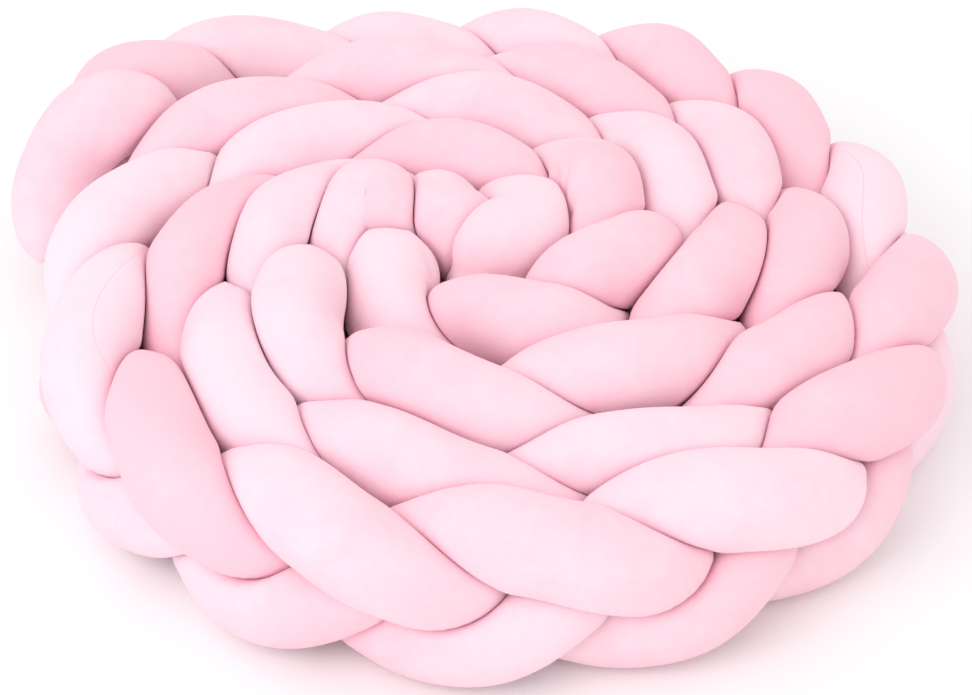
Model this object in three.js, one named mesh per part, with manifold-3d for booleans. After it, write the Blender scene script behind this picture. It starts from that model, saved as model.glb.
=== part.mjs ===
// Braided crib bumper: three stuffed tubes of soft velvet plaited into one long braid.
// The braid stands on its edge and is rolled up on the floor like a snail, each turn pressed
// against the next, so every tube is squashed where it meets its neighbours and the floor.
// Units are millimetres, +Z is up, and +Y points away from the viewer.
import * as THREE from "three";
import Module from "manifold-3d";

// Driving dimensions of the tubes and the plait, in the outermost turn and in the middle
const TUBE_RADIUS = { outer: 28.5, inner: 27 };
const PLAIT_DEPTH = { outer: 23, inner: 24 };

// A tube's middle runs closer to the floor than its free radius, so it rests on a flat strip.
const FLOOR_PRESS = 0.93;

// Where each tube begins and ends, in crossings. The first one comes down to the floor alone.
const TUBE_ENDS = [
  { tube: 1, outer: -0.9, inner: 41.3 },
  { tube: 2, outer: -0.2, inner: 41.5 },
  { tube: 3, outer: 0.4, inner: 42.1 },
];
const NOSE_LENGTH = 0.5;
const NOSE_TIP_SHARE = 0.14;

// Towards the outer end the plait sinks, and towards the inner end it is a little lower and deeper.
const OUTER_SINK = { from: 0.3, over: 1.5, height: 0.25 };
const INNER_SINK = { from: 40.9, over: 1.5, height: 0.84 };
const INNER_DEEPENING = { from: 38, over: 3, depth: 1.47 };

// The braid's middle line seen from above, from its outer end inwards: how far round the coil,
// how far from its eye, and how wide the plait is there, from the middles of its lowest tubes to
// those of its highest. The middle of the coil stands higher than its rim. A tube passes over
// the top edge at every crossing.
const COIL = [
  { crossing: -1.5, turn: 173, radius: 313, width: 59 },
  { crossing: 0, turn: 150, radius: 279, width: 80 },
  { crossing: 1.5, turn: 130, radius: 304, width: 57 },
  { crossing: 2.75, turn: 104, radius: 266, width: 49 },
  { crossing: 4, turn: 80, radius: 255, width: 58 },
  { crossing: 5.5, turn: 47, radius: 250, width: 67 },
  { crossing: 7, turn: 17, radius: 258, width: 51 },
  { crossing: 10, turn: -57, radius: 253, width: 66 },
  { crossing: 13, turn: -136, radius: 235, width: 64 },
  { crossing: 16, turn: -223, radius: 210, width: 70 },
  { crossing: 19, turn: -328, radius: 195, width: 68 },
  { crossing: 22, turn: -420, radius: 206, width: 67 },
  { crossing: 25, turn: -543, radius: 161, width: 71 },
  { crossing: 28, turn: -684, radius: 150, width: 72 },
  { crossing: 31, turn: -816, radius: 143, width: 84 },
  { crossing: 32.5, turn: -889, radius: 115, width: 80 },
  { crossing: 34, turn: -987, radius: 99, width: 71 },
  { crossing: 35.5, turn: -1072, radius: 92, width: 87 },
  { crossing: 37, turn: -1150, radius: 75, width: 77 },
  { crossing: 38, turn: -1228, radius: 54, width: 66 },
  { crossing: 39, turn: -1295, radius: 76, width: 80 },
  { crossing: 40, turn: -1323, radius: 36, width: 75 },
  { crossing: 41, turn: -1420, radius: 35, width: 82 },
  { crossing: 42, turn: -1522, radius: 15, width: 91 },
];
const CROSSINGS = 42;
const PHASE_SHIFT = 0.085;

// How finely the tubes are cut, and how far apart they stay
const TUBES = TUBE_ENDS.length;
const SECTIONS = 220;
const SIDES = 12;
const CLEARANCE = 0.25;
const GAP = 0.3;
const CREASE_SHARPNESS = 10;
const OWN_NEIGHBOURHOOD = 2;
const CONTACT_POINTS = 1200;
const DRAW_IN_PASSES = 3;
const BEND_SHARE = 0.85;

const TUBE_COLOUR = "#FCD6E4";

const mix = THREE.MathUtils.lerp;
const clamp01 = (value) => THREE.MathUtils.clamp(value, 0, 1);
const ease = (value) => THREE.MathUtils.smoothstep(value, 0, 1);
const inwardShare = (crossing) => clamp01(crossing / CROSSINGS);

// The value of one column of the coil between its rows, on a smooth curve through them.
function smoothThrough(column, crossing) {
  const place = (i) => COIL[i].crossing;
  const value = (i) => COIL[i][column];
  const last = COIL.length - 1;
  const slope = (i) => {
    const [before, after] = [Math.max(i - 1, 0), Math.min(i + 1, last)];
    return (value(after) - value(before)) / (place(after) - place(before));
  };
  let row = 0;
  while (row < last - 1 && crossing > place(row + 1)) row++;
  const pitch = place(row + 1) - place(row);
  const t = (crossing - place(row)) / pitch;
  const rising = t * t * (3 - 2 * t);
  const leaving = t * (1 - t) ** 2 * pitch * slope(row);
  const arriving = t * t * (t - 1) * pitch * slope(row + 1);
  return mix(value(row), value(row + 1), rising) + leaving + arriving;
}

function coilMiddle(crossing) {
  const angle = THREE.MathUtils.degToRad(smoothThrough("turn", crossing));
  const radius = smoothThrough("radius", crossing);
  return new THREE.Vector2(radius * Math.cos(angle), radius * Math.sin(angle));
}

// The braid's middle line and its outward direction, level with the floor, at a crossing.
function coilAt(crossing) {
  const inwards = coilMiddle(crossing + 0.05).sub(coilMiddle(crossing - 0.05)).normalize();
  return { middle: coilMiddle(crossing), outward: new THREE.Vector2(-inwards.y, inwards.x) };
}

// The share of its full height that the plait has near either end.
function openness(crossing) {
  const sunk = OUTER_SINK.from - OUTER_SINK.over;
  const outer = mix(OUTER_SINK.height, 1, ease((crossing - sunk) / OUTER_SINK.over));
  const inner = mix(1, INNER_SINK.height, ease((crossing - INNER_SINK.from) / INNER_SINK.over));
  return { outer, both: Math.min(outer, inner) };
}

// The radius that a tube has where nothing presses on it, closing to a nose at both ends.
function freeRadius(tube, crossing) {
  const { outer, inner } = TUBE_ENDS[tube];
  const fromEnd = Math.min(crossing - outer, inner - crossing) / NOSE_LENGTH;
  const nose = Math.sqrt(1 - (1 - clamp01(fromEnd)) ** 2);
  const full = mix(TUBE_RADIUS.outer, TUBE_RADIUS.inner, inwardShare(crossing));
  return full * Math.max(nose, NOSE_TIP_SHARE);
}

// A point on a tube's middle line. In the plait's cross-section each tube follows a figure of
// eight on its side: over the top edge outwards, down the outer face, and back under.
function tubeMiddle(tube, crossing) {
  const { middle, outward } = coilAt(crossing);
  const { outer, both } = openness(crossing);
  const phase = Math.PI / 2 - (2 * Math.PI * (crossing - tube)) / TUBES + PHASE_SHIFT;
  const halfWidth = smoothThrough("width", crossing) / 2;
  const deepening = ease((crossing - INNER_DEEPENING.from) / INNER_DEEPENING.over);
  const depth = mix(PLAIT_DEPTH.outer, PLAIT_DEPTH.inner, inwardShare(crossing));
  const across = (-depth / 2) * mix(1, INNER_DEEPENING.depth, deepening) * Math.sin(2 * phase);
  const radius = mix(TUBE_RADIUS.outer, TUBE_RADIUS.inner, inwardShare(crossing));
  return new THREE.Vector3(
    middle.x + outward.x * across,
    middle.y + outward.y * across,
    FLOOR_PRESS * radius + halfWidth * (outer + both * Math.sin(phase)),
  );
}

const crossingAt = (tube, share) => mix(TUBE_ENDS[tube].outer, TUBE_ENDS[tube].inner, share);

// Close points along every tube's middle line, for the neighbours to press against.
const middles = [];
for (let tube = 0; tube < TUBES; tube++) {
  for (let i = 0; i <= CONTACT_POINTS; i++) {
    const crossing = crossingAt(tube, i / CONTACT_POINTS);
    middles.push({ tube, crossing, point: tubeMiddle(tube, crossing) });
  }
}

// The points of other stretches of tube that are near enough to press on one place of a tube.
function pressingOn(tube, crossing, centre) {
  const farOff = 3 * TUBE_RADIUS.outer;
  return middles
    .filter((m) => m.tube !== tube || Math.abs(m.crossing - crossing) > OWN_NEIGHBOURHOOD)
    .map((m) => m.point)
    .filter((point) => point.distanceTo(centre) < farOff);
}

// The tube's own middle line near one place on it.
function ownStretch(tube, crossing) {
  return middles
    .filter((m) => m.tube === tube && Math.abs(m.crossing - crossing) < OWN_NEIGHBOURHOOD / 2)
    .map((m) => m.point);
}

// How far a tube's surface reaches from its middle in one direction: out to its free radius,
// but no further than halfway to any other stretch of tube, nor to the centre of its own bend.
function reach(free, centre, direction, others, bend) {
  const bending = bend.dot(direction);
  let contact = bending > 0 ? BEND_SHARE / bending : Infinity;
  const apart = new THREE.Vector3();
  for (const other of others) {
    apart.subVectors(other, centre);
    const facing = apart.dot(direction);
    if (facing > 0) contact = Math.min(contact, apart.lengthSq() / (2 * facing));
  }
  return (free ** -CREASE_SHARPNESS + contact ** -CREASE_SHARPNESS) ** (-1 / CREASE_SHARPNESS);
}

// The rings of a tube: each has its middle, its spokes and how far the surface is along them.
function tubeRings(tube) {
  const rings = [];
  const up = new THREE.Vector3(0, 0, 1);
  const step = (crossingAt(tube, 1) - crossingAt(tube, 0)) / SECTIONS / 2;
  for (let section = 0; section <= SECTIONS; section++) {
    const crossing = crossingAt(tube, section / SECTIONS);
    const centre = tubeMiddle(tube, crossing);
    const before = centre.clone().sub(tubeMiddle(tube, crossing - step));
    const after = tubeMiddle(tube, crossing + step).sub(centre);
    const along = before.clone().add(after).normalize();
    const length = (before.length() + after.length()) / 2;
    const bend = after.clone().normalize().sub(before.normalize()).divideScalar(length);
    const side = new THREE.Vector3().crossVectors(along, up).normalize();
    const rise = new THREE.Vector3().crossVectors(side, along);
    const others = pressingOn(tube, crossing, centre);
    const own = ownStretch(tube, crossing);
    const free = freeRadius(tube, crossing);
    const spokes = [];
    for (let i = 0; i < SIDES; i++) {
      const angle = (2 * Math.PI * i) / SIDES;
      const spoke = side.clone().multiplyScalar(Math.sin(angle));
      spokes.push(spoke.addScaledVector(rise, Math.cos(angle)));
    }
    const reaches = spokes.map((spoke) => reach(free, centre, spoke, others, bend));
    rings.push({ centre, spokes, reaches, others, own });
  }
  return rings;
}

const ringPoint = (ring, i) =>
  ring.centre.clone().addScaledVector(ring.spokes[i % SIDES], ring.reaches[i % SIDES]);

const nearest = (point, places) => Math.min(...places.map((place) => place.distanceTo(point)));

// A flat facet bridges the hollows of a curved contact. Where the middle of one comes closer
// than the clearance to the halfway surface, its corners are drawn in by what is missing.
function drawInFacets(rings, clearance) {
  const pulls = rings.map(() => new Array(SIDES).fill(0));
  for (let section = 0; section < SECTIONS; section++) {
    const [here, next] = [rings[section], rings[section + 1]];
    for (let i = 0; i < SIDES; i++) {
      const corners = [
        [section, i],
        [section, (i + 1) % SIDES],
        [section + 1, i],
        [section + 1, (i + 1) % SIDES],
      ];
      const corner = ringPoint(here, i);
      const halfwayTo = (ring, spoke) => corner.clone().lerp(ringPoint(ring, spoke), 0.5);
      const tests = [
        [corner, [corners[0]]],
        [halfwayTo(here, i + 1), [corners[0], corners[1]]],
        [halfwayTo(next, i), [corners[0], corners[2]]],
        [halfwayTo(next, i + 1), [corners[0], corners[3]]],
      ];
      for (const [point, touched] of tests) {
        const margin = (nearest(point, here.others) - nearest(point, here.own)) / 2;
        for (const [ring, spoke] of touched) {
          pulls[ring][spoke] = Math.max(pulls[ring][spoke], clearance - margin);
        }
      }
    }
  }
  rings.forEach((ring, section) => {
    ring.reaches = ring.reaches.map((reached, i) => reached - pulls[section][i]);
  });
}

// The outer surface of one stuffed tube, which keeps the clearance to its neighbours.
function tubeSurface(tube, clearance) {
  const rings = tubeRings(tube);
  for (let pass = 0; pass < DRAW_IN_PASSES; pass++) drawInFacets(rings, clearance);
  const points = [tubeMiddle(tube, crossingAt(tube, 0))];
  for (const ring of rings) {
    for (let i = 0; i < SIDES; i++) points.push(ringPoint(ring, i));
  }
  points.push(tubeMiddle(tube, crossingAt(tube, 1)));
  const positions = points.flatMap((point) => point.toArray());
  return { positions: new Float32Array(positions), triangles: new Uint32Array(tubeTriangles()) };
}

// The triangles that join the rings of a tube to each other and to a point at either end.
function tubeTriangles() {
  const triangles = [];
  const ring = (section, i) => 1 + section * SIDES + (i % SIDES);
  const lastPoint = 1 + (SECTIONS + 1) * SIDES;
  for (let i = 0; i < SIDES; i++) {
    triangles.push(0, ring(0, i + 1), ring(0, i));
    triangles.push(lastPoint, ring(SECTIONS, i), ring(SECTIONS, i + 1));
    for (let section = 0; section < SECTIONS; section++) {
      const a = ring(section, i);
      const b = ring(section, i + 1);
      const c = ring(section + 1, i);
      const d = ring(section + 1, i + 1);
      triangles.push(a, b, d);
      triangles.push(a, d, c);
    }
  }
  return triangles;
}

const wasm = await Module();
wasm.setup();

// One stuffed tube as a closed solid, flat where it rests on the floor.
function tubeSolid(tube, clearance) {
  const { positions, triangles } = tubeSurface(tube, clearance);
  const surface = new wasm.Mesh({ numProp: 3, vertProperties: positions, triVerts: triangles });
  return new wasm.Manifold(surface).trimByPlane([0, 0, 1], 0);
}

// The three tubes, each cut back where a facet of it would still touch one made before it.
function plaitedTubes() {
  const solids = [];
  for (let tube = 0; tube < TUBES; tube++) {
    let solid = tubeSolid(tube, CLEARANCE);
    for (let earlier = 0; earlier < tube; earlier++) {
      solid = solid.subtract(tubeSolid(earlier, CLEARANCE - GAP));
    }
    solids.push(solid);
  }
  return solids;
}

function geometryOf(solid) {
  const mesh = solid.getMesh();
  const geometry = new THREE.BufferGeometry();
  geometry.setAttribute("position", new THREE.BufferAttribute(mesh.vertProperties, 3));
  geometry.setIndex(new THREE.BufferAttribute(mesh.triVerts, 1));
  geometry.computeVertexNormals();
  return geometry;
}

function buildBumper() {
  const bumper = new THREE.Group();
  const bounds = new THREE.Box3();
  plaitedTubes().forEach((solid, tube) => {
    const velvet = new THREE.MeshStandardMaterial({
      color: TUBE_COLOUR,
      roughness: 0.9,
      metalness: 0,
    });
    const mesh = new THREE.Mesh(geometryOf(solid), velvet);
    mesh.name = `stuffed_tube_${tube + 1}`;
    bounds.expandByObject(mesh);
    bumper.add(mesh);
  });
  const centre = bounds.getCenter(new THREE.Vector3());
  for (const mesh of bumper.children) mesh.geometry.translate(-centre.x, -centre.y, 0);
  return bumper;
}

export default buildBumper();
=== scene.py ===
"""Braided crib bumper in pale pink velvet, rolled up on the floor. Metres, Z up, viewer at -Y."""

import math

import bpy
import numpy as np
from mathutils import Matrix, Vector


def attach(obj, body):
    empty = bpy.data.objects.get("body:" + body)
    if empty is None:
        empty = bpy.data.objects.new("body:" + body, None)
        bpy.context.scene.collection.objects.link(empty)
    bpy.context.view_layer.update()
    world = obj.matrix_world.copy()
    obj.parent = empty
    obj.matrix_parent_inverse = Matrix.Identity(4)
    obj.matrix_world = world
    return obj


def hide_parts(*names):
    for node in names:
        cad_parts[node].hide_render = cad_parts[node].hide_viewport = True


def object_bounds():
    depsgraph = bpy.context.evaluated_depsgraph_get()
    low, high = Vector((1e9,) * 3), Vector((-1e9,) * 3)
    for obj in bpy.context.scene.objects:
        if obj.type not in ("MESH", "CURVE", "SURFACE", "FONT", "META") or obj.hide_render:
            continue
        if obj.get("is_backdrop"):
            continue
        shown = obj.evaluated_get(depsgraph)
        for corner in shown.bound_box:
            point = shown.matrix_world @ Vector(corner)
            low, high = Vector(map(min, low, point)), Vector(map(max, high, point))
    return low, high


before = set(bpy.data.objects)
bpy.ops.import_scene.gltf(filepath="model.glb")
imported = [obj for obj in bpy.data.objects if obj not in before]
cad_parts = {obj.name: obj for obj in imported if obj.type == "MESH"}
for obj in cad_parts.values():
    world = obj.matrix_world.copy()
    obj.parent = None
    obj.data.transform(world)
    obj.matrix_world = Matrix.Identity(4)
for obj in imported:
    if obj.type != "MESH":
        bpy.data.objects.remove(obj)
cad_low, cad_high = (Vector(corner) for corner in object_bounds())

# A tube's radius, and the plait's depth from the middles of its front tubes to those of its back
# ones, at the braid's two ends. The floor presses the lowest tubes to a share of their radius.
TUBE_RADIUS = {"outer": 0.0285, "inner": 0.027}
PLAIT_DEPTH = {"outer": 0.023, "inner": 0.024}
FLOOR_PRESS = 0.93

# Where each tube begins and ends, in crossings. The first one comes down to the floor alone. Each
# closes to a nose over half a crossing, and the nose's tip keeps a small share of the radius.
TUBE_ENDS = [
    {"outer": -0.9, "inner": 41.3},
    {"outer": -0.2, "inner": 41.5},
    {"outer": 0.4, "inner": 42.1},
]
TUBES = len(TUBE_ENDS)
NOSE_LENGTH = 0.5
NOSE_TIP_SHARE = 0.03

# Towards the outer end the plait sinks, and towards the inner end it is a little lower and deeper.
OUTER_SINK = {"from": 0.3, "over": 1.5, "height": 0.25}
INNER_SINK = {"from": 40.9, "over": 1.5, "height": 0.84}
INNER_DEEPENING = {"from": 38, "over": 3, "depth": 1.47}

# The braid's middle line seen from above, from its outer end inwards: how far round the coil, in
# degrees, how far from its eye, and how wide the plait is there, from the middles of its lowest
# tubes to those of its highest. A tube passes over the top edge at every crossing.
COIL = [
    {"crossing": -1.5, "turn": 173, "radius": 0.313, "width": 0.059},
    {"crossing": 0, "turn": 150, "radius": 0.279, "width": 0.080},
    {"crossing": 1.5, "turn": 130, "radius": 0.304, "width": 0.057},
    {"crossing": 2.75, "turn": 104, "radius": 0.266, "width": 0.049},
    {"crossing": 4, "turn": 80, "radius": 0.255, "width": 0.058},
    {"crossing": 5.5, "turn": 47, "radius": 0.250, "width": 0.067},
    {"crossing": 7, "turn": 17, "radius": 0.258, "width": 0.051},
    {"crossing": 10, "turn": -57, "radius": 0.253, "width": 0.066},
    {"crossing": 13, "turn": -136, "radius": 0.235, "width": 0.064},
    {"crossing": 16, "turn": -223, "radius": 0.210, "width": 0.070},
    {"crossing": 19, "turn": -328, "radius": 0.195, "width": 0.068},
    {"crossing": 22, "turn": -420, "radius": 0.206, "width": 0.067},
    {"crossing": 25, "turn": -543, "radius": 0.161, "width": 0.071},
    {"crossing": 28, "turn": -684, "radius": 0.150, "width": 0.072},
    {"crossing": 31, "turn": -816, "radius": 0.143, "width": 0.084},
    {"crossing": 32.5, "turn": -889, "radius": 0.115, "width": 0.080},
    {"crossing": 34, "turn": -987, "radius": 0.099, "width": 0.071},
    {"crossing": 35.5, "turn": -1072, "radius": 0.092, "width": 0.087},
    {"crossing": 37, "turn": -1150, "radius": 0.075, "width": 0.077},
    {"crossing": 38, "turn": -1228, "radius": 0.054, "width": 0.066},
    {"crossing": 39, "turn": -1295, "radius": 0.076, "width": 0.080},
    {"crossing": 40, "turn": -1323, "radius": 0.036, "width": 0.075},
    {"crossing": 41, "turn": -1420, "radius": 0.035, "width": 0.082},
    {"crossing": 42, "turn": -1522, "radius": 0.015, "width": 0.091},
]
CROSSINGS = 42

# How far the weave is shifted along the coil, in radians, and the step, in crossings, that gives
# the coil's direction
PHASE_SHIFT = 0.085
DIRECTION_STEP = 0.05

# How finely the velvet is drawn: the rings of a tube, the points of a ring, how much closer the
# rings lie towards the inner end, over how many of them a value along the tube is evened out, and
# how often each ring is drawn towards the two beside it
SECTIONS = 1360
SIDES = 64
CLOSER_INWARDS = 0.35
STEADY_SECTIONS = 16
EVENING_PASSES = 3

# Tubes press against each other halfway between their middles, each this much short of it. The
# higher the sharpness, the more suddenly a free side turns into a pressed one.
CLEARANCE = 0.0002
CREASE_SHARPNESS = 11

# Each tube is this many points to its neighbours. Those within some radii of a place press on it,
# but not its own tube's within two crossings.
CONTACT_POINTS = 2400
NEIGHBOUR_RADII = 4
OWN_NEIGHBOURHOOD = 2

# How far a tube reaches towards and past the middle of its own bend, in radii of the bend, so
# that its cloth folds into a crease there
BEND_SHARE = 3

# How much a tube swells beside a neighbour and in the hollow between two, as a share of its radius,
# and from how far off, in radii, it does so fully and not at all
EDGE_SWELL = {"amount": 0.05, "full": 1.0, "none": 1.5}
HOLLOW_SWELL = {"amount": 0.07, "full": 1.1, "none": 1.4}

# A distance beyond all others, and the least number that anything is divided by
FAR = 10.0
TINY = 1e-9

# The soft lumps of the filling: their height, how many waves make them, from how short to how long
# those are, how far they may slant round the tube, and the first tube's random seed
LUMP_HEIGHT = 0.0006
LUMP_WAVES = 14
LUMP_LENGTHS = (0.045, 0.16)
LUMP_TURNS = 3
LUMP_SEED = 40

# Each tube's long seam lies underneath, and turns up to the top at some crossings, within a few
# on either side. Its groove is one point of a ring wide, with a shallower one on either side.
SEAM_UP = [
    {"tube": 2, "crossing": 7.1, "angle": 4},
    {"tube": 3, "crossing": 13.9, "angle": 10},
]
SEAM_UNDER = 180
SEAM_TURNS_WITHIN = 2.6
SEAM_DEPTH = 0.0002
SEAM_SHOULDER = SEAM_DEPTH / 3

# Pleats where the cloth bunches at a tight bend: where the deep end of each is, and where it has
# run out, as a crossing and an angle from the tube's top in degrees
PLEATS = [
    {"tube": 3, "from": (35.22, 58), "to": (34.80, 30), "depth": 0.0030, "width": 0.0028},
    {"tube": 3, "from": (35.34, 50), "to": (35.30, 20), "depth": 0.0024, "width": 0.0026},
    {"tube": 3, "from": (35.05, 66), "to": (34.60, 56), "depth": 0.0020, "width": 0.0028},
    {"tube": 3, "from": (38.04, 66), "to": (38.22, 38), "depth": 0.0020, "width": 0.0028},
    {"tube": 3, "from": (37.92, 66), "to": (38.06, 36), "depth": 0.0018, "width": 0.0028},
]

# Painted sheen: the velvet's tone is painted paler or deeper by how the lie of its pile meets the
# light.
# The direction in which a tube is painted palest, whether its strip was cut along the pile or against
# it, and where that turns near the inner end
SHEEN_TOWARDS = (0.13, 0.95, 0.0)
NAP_SIGNS = (1, -1, 1)
NAP_TURN = {"from": 39.3, "over": 1.2}

# Stretches painted paler or deeper, as shares of what the painted sheen does, and how many crossings
# they reach to either side. They are partly pile brushed unevenly, partly painted shade and painted
# light: deeper on lobes at the back, paler on lobes lit from the front left.
BRUSHED_AND_PAINTED_LIGHT = [
    {"tube": 1, "crossing": -0.2, "painted_light_and_brushing": -0.8},
    {"tube": 3, "crossing": 5.2, "painted_light_and_brushing": -0.8},
    {"tube": 1, "crossing": 8.8, "painted_light_and_brushing": -0.8},
    {"tube": 2, "crossing": 12.8, "painted_light_and_brushing": -1.4},
    {"tube": 1, "crossing": 14.9, "painted_light_and_brushing": 0.8},
    {"tube": 2, "crossing": 15.9, "painted_light_and_brushing": 0.4},
    {"tube": 3, "crossing": 17.0, "painted_light_and_brushing": -0.8},
    {"tube": 1, "crossing": 17.8, "painted_light_and_brushing": -0.9},
    {"tube": 3, "crossing": 25.9, "painted_light_and_brushing": 0.8},
    {"tube": 2, "crossing": 28.2, "painted_light_and_brushing": 0.5},
    {"tube": 2, "crossing": 34.1, "painted_light_and_brushing": -1.0},
    {"tube": 3, "crossing": 37.8, "painted_light_and_brushing": 0.5},
]
STRETCHES_REACH = 1.5


def mix(a, b, share):
    return a + (b - a) * share


def ease(value):
    t = np.clip(value, 0, 1)
    return t * t * (3 - 2 * t)


def unit(vectors):
    return vectors / np.linalg.norm(vectors, axis=-1, keepdims=True)


def between(pair, crossing):
    """A size that changes evenly from the outer end of the braid to the inner one."""
    return mix(pair["outer"], pair["inner"], np.clip(crossing / CROSSINGS, 0, 1))


def smooth_through(column, crossing):
    """The value of one column of the coil between its rows, on a smooth curve through them."""
    places = np.array([row["crossing"] for row in COIL], float)
    values = np.array([row[column] for row in COIL], float)
    inner_slopes = (values[2:] - values[:-2]) / (places[2:] - places[:-2])
    first_slope = (values[1] - values[0]) / (places[1] - places[0])
    last_slope = (values[-1] - values[-2]) / (places[-1] - places[-2])
    slopes = np.concatenate([[first_slope], inner_slopes, [last_slope]])
    row = np.clip(np.searchsorted(places, crossing) - 1, 0, len(places) - 2)
    pitch = places[row + 1] - places[row]
    t = (crossing - places[row]) / pitch
    leaving = t * (1 - t) ** 2 * pitch * slopes[row]
    arriving = t * t * (t - 1) * pitch * slopes[row + 1]
    return mix(values[row], values[row + 1], t * t * (3 - 2 * t)) + leaving + arriving


def coil_middle(crossing):
    angle = np.radians(smooth_through("turn", crossing))
    radius = smooth_through("radius", crossing)
    return np.stack([radius * np.cos(angle), radius * np.sin(angle)], axis=-1)


def tube_middle(tube, crossing):
    """Points on a tube's middle line: a figure of eight on its side, carried along the coil."""
    crossing = np.asarray(crossing, float)
    middle = coil_middle(crossing)
    onwards = coil_middle(crossing + DIRECTION_STEP) - coil_middle(crossing - DIRECTION_STEP)
    onwards = unit(onwards)
    sunk = OUTER_SINK["from"] - OUTER_SINK["over"]
    outer = mix(OUTER_SINK["height"], 1, ease((crossing - sunk) / OUTER_SINK["over"]))
    lowering = ease((crossing - INNER_SINK["from"]) / INNER_SINK["over"])
    both = np.minimum(outer, mix(1, INNER_SINK["height"], lowering))
    phase = np.pi / 2 - 2 * np.pi * (crossing - tube) / TUBES + PHASE_SHIFT
    half_width = smooth_through("width", crossing) / 2
    deepening = ease((crossing - INNER_DEEPENING["from"]) / INNER_DEEPENING["over"])
    half_depth = between(PLAIT_DEPTH, crossing) / 2 * mix(1, INNER_DEEPENING["depth"], deepening)
    across = -half_depth * np.sin(2 * phase)
    x = middle[..., 0] - onwards[..., 1] * across
    y = middle[..., 1] + onwards[..., 0] * across
    lowest = FLOOR_PRESS * between(TUBE_RADIUS, crossing)
    return np.stack([x, y, lowest + half_width * (outer + both * np.sin(phase))], axis=-1)


def crossings_of(tube, count):
    """Places along a tube, closer together towards the tight bends at its inner end."""
    share = np.linspace(0, 1, count + 1)
    closing = share * (1 + CLOSER_INWARDS * (1 - share))
    return mix(TUBE_ENDS[tube]["outer"], TUBE_ENDS[tube]["inner"], closing)


def free_radius(tube, crossing):
    """The radius where nothing presses on a tube, closing to a nose at both ends."""
    ends = TUBE_ENDS[tube]
    from_end = np.minimum(crossing - ends["outer"], ends["inner"] - crossing) / NOSE_LENGTH
    nose = np.sqrt(1 - (1 - np.clip(from_end, 0, 1)) ** 2)
    return between(TUBE_RADIUS, crossing) * np.maximum(nose, NOSE_TIP_SHARE)


# Close points along every tube's middle line, for the neighbours to press against
contact_places = np.concatenate([crossings_of(tube, CONTACT_POINTS) for tube in range(TUBES)])
contact_tubes = np.repeat(np.arange(TUBES), CONTACT_POINTS + 1)
contact_points = np.concatenate(
    [tube_middle(tube, crossings_of(tube, CONTACT_POINTS)) for tube in range(TUBES)]
)


def swell(kind, distance):
    """The share by which a tube grows beyond its free radius, by how near what it meets is."""
    return kind["amount"] * (1 - ease((distance - kind["full"]) / (kind["none"] - kind["full"])))


def pressed_reach(tube, crossing, centre, spokes, free, bend):
    """How far the surface is along each spoke: its free radius, or less where it is pressed.

    The filling that is pressed away swells the tube a little beside its neighbour, and more
    into the hollow where it meets two of them.
    """
    elsewhere = (contact_tubes != tube) | (np.abs(contact_places - crossing) > OWN_NEIGHBOURHOOD)
    apart = contact_points[elsewhere] - centre
    square = np.einsum("ij,ij->i", apart, apart)
    near = square < (NEIGHBOUR_RADII * TUBE_RADIUS["outer"]) ** 2
    halfway = square[near, None] / (2 * np.maximum(apart[near] @ spokes.T, TINY))
    tubes = contact_tubes[elsewhere][near]
    places = contact_places[elsewhere][near]
    first = halfway.argmin(axis=0)
    further = np.abs(places[:, None] - places[first]) > OWN_NEIGHBOURHOOD
    second = np.where((tubes[:, None] != tubes[first]) | further, halfway, FAR).min(axis=0)
    contact = np.minimum(halfway.min(axis=0), BEND_SHARE / np.maximum(spokes @ bend, TINY))
    growth = swell(EDGE_SWELL, contact / free) + swell(HOLLOW_SWELL, second / free)
    power = -float(CREASE_SHARPNESS)
    blended = ((free * (1 + growth)) ** power + contact**power) ** (1 / power)
    floor = centre[2] / np.maximum(-spokes[:, 2], TINY)
    return np.minimum(np.minimum(blended, contact - CLEARANCE), floor)


def soft_lumps(random, length, angles):
    """Uneven filling: waves of random length and slant that run along and round a tube."""
    height = np.zeros(angles.shape)
    for _ in range(LUMP_WAVES):
        wave = 2 * np.pi * length / random.uniform(*LUMP_LENGTHS)
        slant = random.integers(-LUMP_TURNS, LUMP_TURNS + 1)
        shift = random.uniform(0, 2 * np.pi)
        height += np.sin(wave[:, None] + slant * angles + shift)
    return height * LUMP_HEIGHT / math.sqrt(LUMP_WAVES / 2)


def seam_angle(tube, crossings):
    """Where round the tube its seam lies, in radians from the top."""
    angle = np.full(len(crossings), float(SEAM_UNDER))
    for row in SEAM_UP:
        if row["tube"] == tube + 1:
            up = 1 - ease(np.abs(crossings - row["crossing"]) / SEAM_TURNS_WITHIN)
            angle += (row["angle"] - SEAM_UNDER) * up
    return np.radians(angle)


def seam_groove():
    """How deep the seam draws in each point of a ring, from the seam round."""
    groove = np.zeros(SIDES)
    groove[0] = SEAM_DEPTH
    groove[[1, -1]] = SEAM_SHOULDER
    return groove


def pleat_depth(tube, crossings, length, angles):
    """How deep the pleats of a tube are at every section and angle."""
    depth = np.zeros(angles.shape)
    for row in PLEATS:
        if row["tube"] != tube + 1:
            continue
        (deep, deep_angle), (shallow, shallow_angle) = row["from"], row["to"]
        start, end = np.interp((deep, shallow), crossings, length)
        from_start = (angles - math.radians(deep_angle) + np.pi) % (2 * np.pi) - np.pi
        run = np.array([end - start, math.radians(shallow_angle - deep_angle) * TUBE_RADIUS["inner"]])
        along_tube = length[:, None] - start
        round_tube = from_start * TUBE_RADIUS["inner"]
        share = np.clip((along_tube * run[0] + round_tube * run[1]) / (run @ run), 0, 1)
        distance = np.hypot(along_tube - share * run[0], round_tube - share * run[1])
        depth += row["depth"] * (1 - share) * np.exp(-((distance / row["width"]) ** 2))
    return depth


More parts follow.
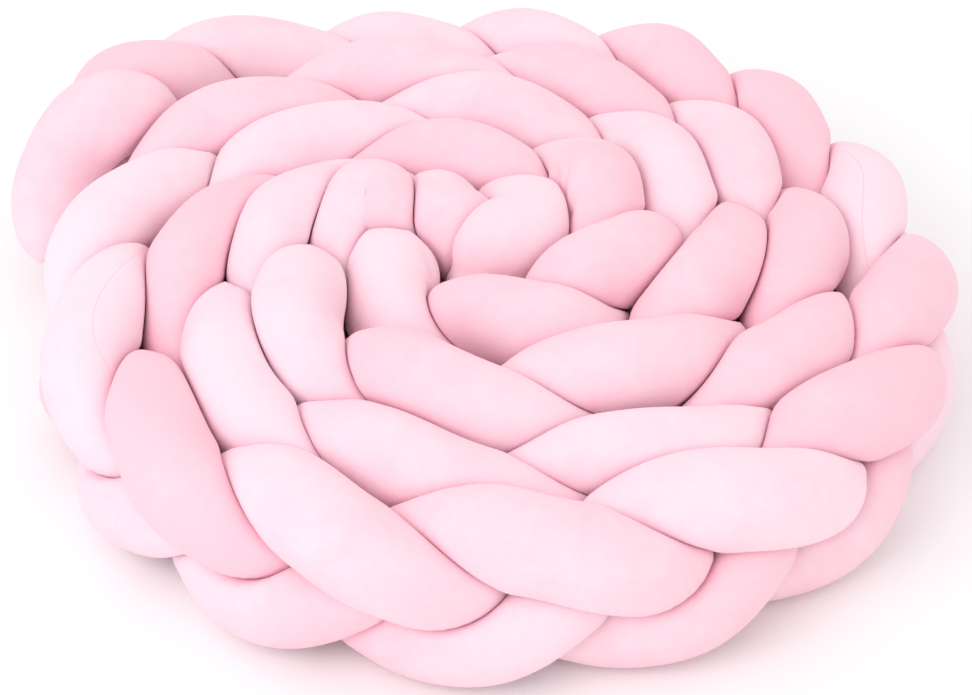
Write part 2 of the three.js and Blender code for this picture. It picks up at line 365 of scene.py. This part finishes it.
def evened(values):
    """Evens out a row of values along a tube, one for each section, over a few sections."""
    ends = [(STEADY_SECTIONS, STEADY_SECTIONS)] + [(0, 0)] * (values.ndim - 1)
    longer = np.pad(values, ends, mode="edge")
    weights = np.hanning(2 * STEADY_SECTIONS + 3)[1:-1]
    weights /= weights.sum()
    return np.apply_along_axis(np.convolve, 0, longer, weights, mode="valid")


def steady(side, along):
    """Turns the rings' sideways direction slowly where a tube runs nearly straight down."""
    smooth = evened(side)
    return unit(smooth - along * np.einsum("ij,ij->i", smooth, along)[:, None])


def tube_path(tube, crossings):
    """A tube's middle line, and there its direction, its bend, and the way to its side and its top.

    The bend points to the inside of the curve, and is as long as one over the curve's radius.
    """
    centres = tube_middle(tube, crossings)
    step = (crossings[1] - crossings[0]) / 2
    before = centres - tube_middle(tube, crossings - step)
    after = tube_middle(tube, crossings + step) - centres
    pace = (np.linalg.norm(before, axis=1) + np.linalg.norm(after, axis=1))[:, None] / 2
    bend = (unit(after) - unit(before)) / pace
    along = unit(before + after)
    side = steady(np.cross(along, [0, 0, 1]), along)
    return centres, along, bend, side, np.cross(side, along)


def tube_surface(tube):
    """A tube's rings, sections by sides by xyz, its middle line, its length and its direction.

    The seam and the pleats are drawn in last, so that nothing evens them out, and never more than
    halfway to the tube's middle.
    """
    crossings = crossings_of(tube, SECTIONS)
    centres, along, bend, side, rise = tube_path(tube, crossings)
    length = np.concatenate([[0], np.cumsum(np.linalg.norm(np.diff(centres, axis=0), axis=1))])
    turned = 2 * np.pi * np.arange(SIDES) / SIDES + seam_angle(tube, crossings)[:, None]
    lumps = soft_lumps(np.random.default_rng(LUMP_SEED + tube), length, turned)
    drawn_in = seam_groove() + pleat_depth(tube, crossings, length, turned)
    sideways, upwards = np.sin(turned)[..., None], np.cos(turned)[..., None]
    spokes = sideways * side[:, None] + upwards * rise[:, None]
    reach = np.empty((SECTIONS + 1, SIDES))
    for section, crossing in enumerate(crossings):
        free = free_radius(tube, crossing)
        lumpy = free + lumps[section] * free / between(TUBE_RADIUS, crossing)
        place = (tube, crossing, centres[section])
        reach[section] = pressed_reach(*place, spokes[section], lumpy, bend[section])
    rings = centres[:, None] + spokes * reach[..., None]
    for _ in range(EVENING_PASSES):
        rings[1:-1] = (rings[:-2] + 2 * rings[1:-1] + rings[2:]) / 4
    rings -= spokes * np.minimum(drawn_in, reach / 2)[..., None]
    return rings, centres, length, along


def painted_sheen_and_stretches(tube, along):
    """How pale each section is painted: painted sheen from -1 to 1, by how the pile lies against the
    light, and the stretches painted paler or deeper, partly brushed pile and partly painted light and
    shade.
    """
    crossings = crossings_of(tube, SECTIONS)
    turn = ease((crossings - NAP_TURN["from"]) / NAP_TURN["over"])
    # Painted sheen: paler or deeper by how the tube's pile lies against the light
    painted_light_and_brushing = NAP_SIGNS[tube] * mix(1, -1, turn) * (along @ np.array(SHEEN_TOWARDS))
    # Stretches painted paler or deeper: partly brushed pile, partly painted shade and painted light
    for row in BRUSHED_AND_PAINTED_LIGHT:
        if row["tube"] == tube + 1:
            painted_light_and_brushing += row["painted_light_and_brushing"] * (1 - ease(np.abs(crossings - row["crossing"]) / STRETCHES_REACH))
    return evened(painted_light_and_brushing)


def tube_mesh(name, rings, centres, length, painted_light_and_brushing):
    """One closed mesh from the rings, with fans to the middle line's two ends for its noses.

    Its UV map goes round the tube from the seam, from 0 to 1, and along it in metres.
    """
    sections, sides = rings.shape[:2]
    points = np.concatenate([rings.reshape(-1, 3), centres[:1], centres[-1:]])
    ring = np.arange(sections - 1)[:, None] * sides
    here = np.arange(sides)[None, :]
    after = (here + 1) % sides
    quads = np.stack([ring + here, ring + sides + here, ring + sides + after, ring + after], axis=-1)
    quads = quads.reshape(-1, 4)
    first, last = sections * sides, sections * sides + 1
    tail = (sections - 1) * sides
    start_fan = [(first, i, (i + 1) % sides) for i in range(sides)]
    end_fan = [(last, tail + (i + 1) % sides, tail + i) for i in range(sides)]
    mesh = bpy.data.meshes.new(name)
    mesh.from_pydata(points.tolist(), [], quads.tolist() + start_fan + end_fan)

    round_share = np.concatenate([np.tile(np.arange(sides) / sides, sections), [0.5, 0.5]])
    metres = np.concatenate([np.repeat(length, sides), [length[0], length[-1]]])
    corners = np.empty(len(mesh.loops), int)
    mesh.loops.foreach_get("vertex_index", corners)
    uv = np.stack([round_share[corners], metres[corners]], axis=-1)
    back_at_seam = np.tile(np.arange(sides) == sides - 1, sections - 1)
    uv[: quads.size].reshape(-1, 4, 2)[back_at_seam, 2:, 0] = 1
    mesh.uv_layers.new(name="velvet_strip").data.foreach_set("uv", uv.astype(np.float32).ravel())

    # Each point carries its painted sheen and its stretches of painted light, shade and brushing
    attribute = mesh.attributes.new("painted_light_and_brushing", "FLOAT", "POINT")
    painted_light_and_brushing_per_point = np.concatenate([np.repeat(painted_light_and_brushing, sides), painted_light_and_brushing[[0, -1]]])
    attribute.data.foreach_set("value", painted_light_and_brushing_per_point.astype(np.float32))
    mesh.update()
    mesh.shade_smooth()
    return mesh


def linear(hex_colour):
    """An sRGB hex colour as linear RGBA."""
    channels = [int(hex_colour[i : i + 2], 16) / 255 for i in (1, 3, 5)]
    return [c / 12.92 if c <= 0.04045 else ((c + 0.055) / 1.055) ** 2.4 for c in channels] + [1]


def node(tree, kind, settings=None, links=None):
    """Adds a node with its settings, and sets or links its inputs by name or number."""
    made = tree.nodes.new(kind)
    for key, value in (settings or {}).items():
        setattr(made, key, value)
    for key, value in (links or {}).items():
        if isinstance(value, bpy.types.NodeSocket):
            tree.links.new(value, made.inputs[key])
        else:
            made.inputs[key].default_value = value
    return made


# The velvet's colours. Deep and pale are the ends of its tone, which carries painted sheen, deep where
# one looks into the pile and pale where it leans away, and painted shade, besides uneven dye and
# brushing. Then the seam's colour, and that of the haze of fibre tips at its edges
VELVET = {"deep": "#FBCAD7", "pale": "#FCDFE9", "seam": "#FACCDA", "tips": "#FFE9F2"}

# Its tone, from deep to pale: the middle, how far the painted sheen and the stretches of painted
# light, shade and brushing move it, and where the two colours are reached
TONE_MIDDLE = 0.5
TONE_BY_PAINTED_LIGHT_AND_BRUSHING = 0.24
TONE_ENDS = {"deep": 0.1, "pale": 0.9}

# The clouds that vary the tone, with sizes in metres: where the strips were dyed and pressed
# unevenly, and where hands and folding have stroked the pile
CLOUDS = [
    {"size": 0.14, "detail": 2.0, "roughness": 0.5, "share": 0.9},
    {"size": 0.018, "detail": 4.0, "roughness": 0.75, "share": 0.56},
]

# The pile's tufts, in metres. They are really about 0.4 mm apart, and drawn coarser so as to show.
PILE_PITCH = 0.0011
PILE_DETAIL = 2.0
PILE_RELIEF = {"Strength": 0.3, "Distance": 0.0004}

# How far the seam's line shows to either side, in metres, and how far it is once round a tube
SEAM_WIDTH = 0.0007
TUBE_ROUND = 2 * math.pi * TUBE_RADIUS["outer"]


def short_pile_velvet():
    """Short-pile polyester velvet, warp-knitted, sheared and brushed.

    The eye sees a matt softness without highlights, a pale haze at grazing angles, and clouds of
    pink from uneven dye and stroking. Painted sheen is added, deeper where one looks into the pile and
    paler where it leans away, with stretches of painted light and shade.
    """
    material = bpy.data.materials.new("short_pile_velvet")
    material.use_nodes = True
    tree = material.node_tree
    tree.nodes.clear()
    place = node(tree, "ShaderNodeTexCoord").outputs["Object"]
    # The painted sheen and the stretches of painted light, shade and brushing, read from each point
    painted_light_and_brushing = node(tree, "ShaderNodeAttribute", {"attribute_name": "painted_light_and_brushing"}).outputs["Fac"]
    scaled = {"operation": "MULTIPLY_ADD"}
    tone = node(tree, "ShaderNodeMath", scaled, {0: painted_light_and_brushing, 1: TONE_BY_PAINTED_LIGHT_AND_BRUSHING, 2: TONE_MIDDLE}).outputs[0]
    for cloud in CLOUDS:
        pattern = {
            "Vector": place,
            "Scale": 1 / cloud["size"],
            "Detail": cloud["detail"],
            "Roughness": cloud["roughness"],
        }
        noise = node(tree, "ShaderNodeTexNoise", None, pattern).outputs["Fac"]
        share = cloud["share"]
        change = node(tree, "ShaderNodeMath", scaled, {0: noise, 1: share, 2: -share / 2}).outputs[0]
        tone = node(tree, "ShaderNodeMath", {"operation": "ADD"}, {0: tone, 1: change}).outputs[0]
    shade = node(tree, "ShaderNodeValToRGB", None, {"Fac": tone})
    shade.color_ramp.interpolation = "EASE"
    for element, end in zip(shade.color_ramp.elements, TONE_ENDS):
        element.position = TONE_ENDS[end]
        element.color = linear(VELVET[end])
    strip = node(tree, "ShaderNodeUVMap", {"uv_map": "velvet_strip"}).outputs["UV"]
    across = node(tree, "ShaderNodeSeparateXYZ", None, {0: strip}).outputs["X"]
    from_seam = node(
        tree, "ShaderNodeMath", {"operation": "PINGPONG"}, {0: across, 1: 0.5}
    ).outputs[0]
    seam = node(
        tree,
        "ShaderNodeMapRange",
        {"interpolation_type": "SMOOTHSTEP"},
        {"Value": from_seam, "From Max": SEAM_WIDTH / TUBE_ROUND, "To Min": 1.0, "To Max": 0.0},
    ).outputs["Result"]
    seamed = node(
        tree,
        "ShaderNodeMix",
        {"data_type": "RGBA", "blend_type": "MIX"},
        {0: seam, 6: shade.outputs["Color"], 7: linear(VELVET["seam"])},
    ).outputs[2]
    tufts = {"Vector": place, "Scale": 1 / PILE_PITCH, "Detail": PILE_DETAIL}
    pile = node(tree, "ShaderNodeTexNoise", None, tufts).outputs["Fac"]
    relief = node(tree, "ShaderNodeBump", None, {"Height": pile, **PILE_RELIEF}).outputs["Normal"]
    shader = node(
        tree,
        "ShaderNodeBsdfPrincipled",
        None,
        {
            "Base Color": seamed,
            "Roughness": 0.95,
            "Specular IOR Level": 0.15,
            "Sheen Weight": 0.25,
            "Sheen Roughness": 0.5,
            "Sheen Tint": linear(VELVET["tips"]),
            "Normal": relief,
        },
    )
    node(tree, "ShaderNodeOutputMaterial", None, {"Surface": shader.outputs["BSDF"]})
    return material


def braided_bumper():
    """The three velvet tubes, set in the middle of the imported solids' box. Returns the coil's eye."""
    velvet = short_pile_velvet()
    surfaces = [tube_surface(tube) for tube in range(TUBES)]
    every_point = np.concatenate([rings.reshape(-1, 3) for rings, *_ in surfaces])
    low, high = every_point.min(axis=0), every_point.max(axis=0)
    eye = np.array([(cad_low[i] + cad_high[i]) / 2 - (low[i] + high[i]) / 2 for i in (0, 1)] + [0])
    for tube, (rings, centres, length, along) in enumerate(surfaces):
        # Painted sheen and stretches of painted light, shade and brushing along the tube
        painted_light_and_brushing = painted_sheen_and_stretches(tube, along)
        mesh = tube_mesh(f"velvet_tube_{tube + 1}", rings + eye, centres + eye, length, painted_light_and_brushing)
        mesh.materials.append(velvet)
        piece = bpy.data.objects.new(mesh.name, mesh)
        bpy.context.scene.collection.objects.link(piece)
        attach(piece, "root")
        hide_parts(f"stuffed_tube_{tube + 1}")
    return eye


# The floor's width, in metres, far past the view's edges, and its paper's colour and finish
FLOOR_WIDTH = 12
FLOOR_WHITE = "#FAFAFA"
FLOOR_ROUGHNESS = 0.9


def white_paper():
    """Matt white background paper, uncoated: it shows soft shadows and no gloss."""
    material = bpy.data.materials.new("white_paper")
    material.use_nodes = True
    shader = material.node_tree.nodes["Principled BSDF"]
    shader.inputs["Base Color"].default_value = linear(FLOOR_WHITE)
    shader.inputs["Roughness"].default_value = FLOOR_ROUGHNESS
    return material


def pale_floor():
    bpy.ops.mesh.primitive_plane_add(size=FLOOR_WIDTH, location=(0, 0, 0))
    floor = bpy.context.object
    floor.name = "floor"
    floor.data.materials.append(white_paper())
    floor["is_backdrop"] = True


# White light from all round, and a large soft lamp at the left in front, in metres and watts
DAYLIGHT = {"colour": "#FFFFFF", "strength": 1.0}
KEY_LIGHT = {"place": (-1.3, -1.5, 1.7), "width": 1.5, "power": 14}


def studio():
    world = bpy.data.worlds.new("studio")
    bpy.context.scene.world = world
    world.use_nodes = True
    background = world.node_tree.nodes["Background"]
    background.inputs["Color"].default_value = linear(DAYLIGHT["colour"])
    background.inputs["Strength"].default_value = DAYLIGHT["strength"]
    bpy.ops.object.light_add(type="AREA", location=KEY_LIGHT["place"])
    light = bpy.context.object
    light.name = "key"
    light.data.shape = "DISK"
    light.data.size = KEY_LIGHT["width"]
    light.data.energy = KEY_LIGHT["power"]
    light.rotation_euler = (-Vector(KEY_LIGHT["place"])).to_track_quat("-Z", "Y").to_euler()
    bpy.context.scene.view_settings.view_transform = "Standard"


# The photograph's frame in pixels, and the point of the floor that its perspective centres on, in
# pixels and in metres from the coil's eye
PHOTO_WIDTH = 972
PHOTO_HEIGHT = 695
VIEW_CENTRE = (482.7, 363.4)
CENTRE_FROM_EYE = (0.0076, 0.0165)

# The camera: how high it looks down, how far it is, its scale at that distance, and its sensor's
# width in millimetres
CAMERA_ELEVATION = math.radians(39.1)
CAMERA_DISTANCE = 1.598
PIXELS_PER_METRE = 1576
SENSOR_WIDTH = 36


def photo_camera(eye):
    target = Vector((eye[0] + CENTRE_FROM_EYE[0], eye[1] + CENTRE_FROM_EYE[1], 0))
    back = CAMERA_DISTANCE * math.cos(CAMERA_ELEVATION)
    up = CAMERA_DISTANCE * math.sin(CAMERA_ELEVATION)
    bpy.ops.object.camera_add(location=target + Vector((0, -back, up)))
    camera = bpy.context.object
    camera.rotation_euler = (math.pi / 2 - CAMERA_ELEVATION, 0, 0)
    camera.data.sensor_width = SENSOR_WIDTH
    camera.data.lens = PIXELS_PER_METRE * CAMERA_DISTANCE / PHOTO_WIDTH * SENSOR_WIDTH
    camera.data.shift_x = (PHOTO_WIDTH / 2 - VIEW_CENTRE[0]) / PHOTO_WIDTH
    camera.data.shift_y = (VIEW_CENTRE[1] - PHOTO_HEIGHT / 2) / PHOTO_WIDTH
    bpy.context.scene.camera = camera


bpy.ops.object.select_all(action="DESELECT")
coil_eye = braided_bumper()
pale_floor()
studio()
photo_camera(coil_eye)
